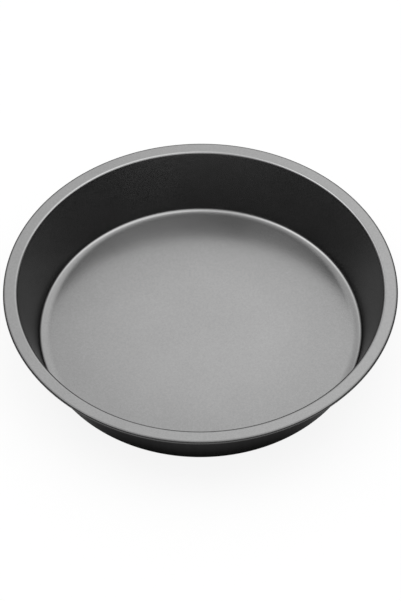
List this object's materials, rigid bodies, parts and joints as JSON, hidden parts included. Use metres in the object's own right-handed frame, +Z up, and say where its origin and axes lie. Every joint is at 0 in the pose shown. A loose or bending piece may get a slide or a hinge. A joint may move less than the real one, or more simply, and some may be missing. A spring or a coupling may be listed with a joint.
{
  "type": "cake pan",
  "caption": "Round flared cake pan drawn from one steel sheet, with a flat floor, a flat rim rolled over a stiffening wire and a grey release lining.",
  "frame": {"origin": "middle of the underside, where the pan stands", "axes": "+Z up along the axis that the pan is turned about; X and Y are alike"},
  "size_m": [0.28, 0.28, 0.0488],
  "materials": {
    "lacquered_steel": "satin dark grey heat-proof lacquer on thin cold-rolled steel",
    "wire_steel": "bare drawn steel wire",
    "release_coat": "satin metallic grey release coat, baked on, very fine grain"
  },
  "bodies": {
    "root": {"pan_shell": "lacquered_steel", "rim_wire": "wire_steel", "nonstick_lining": "release_coat"}
  },
  "joints": []
}
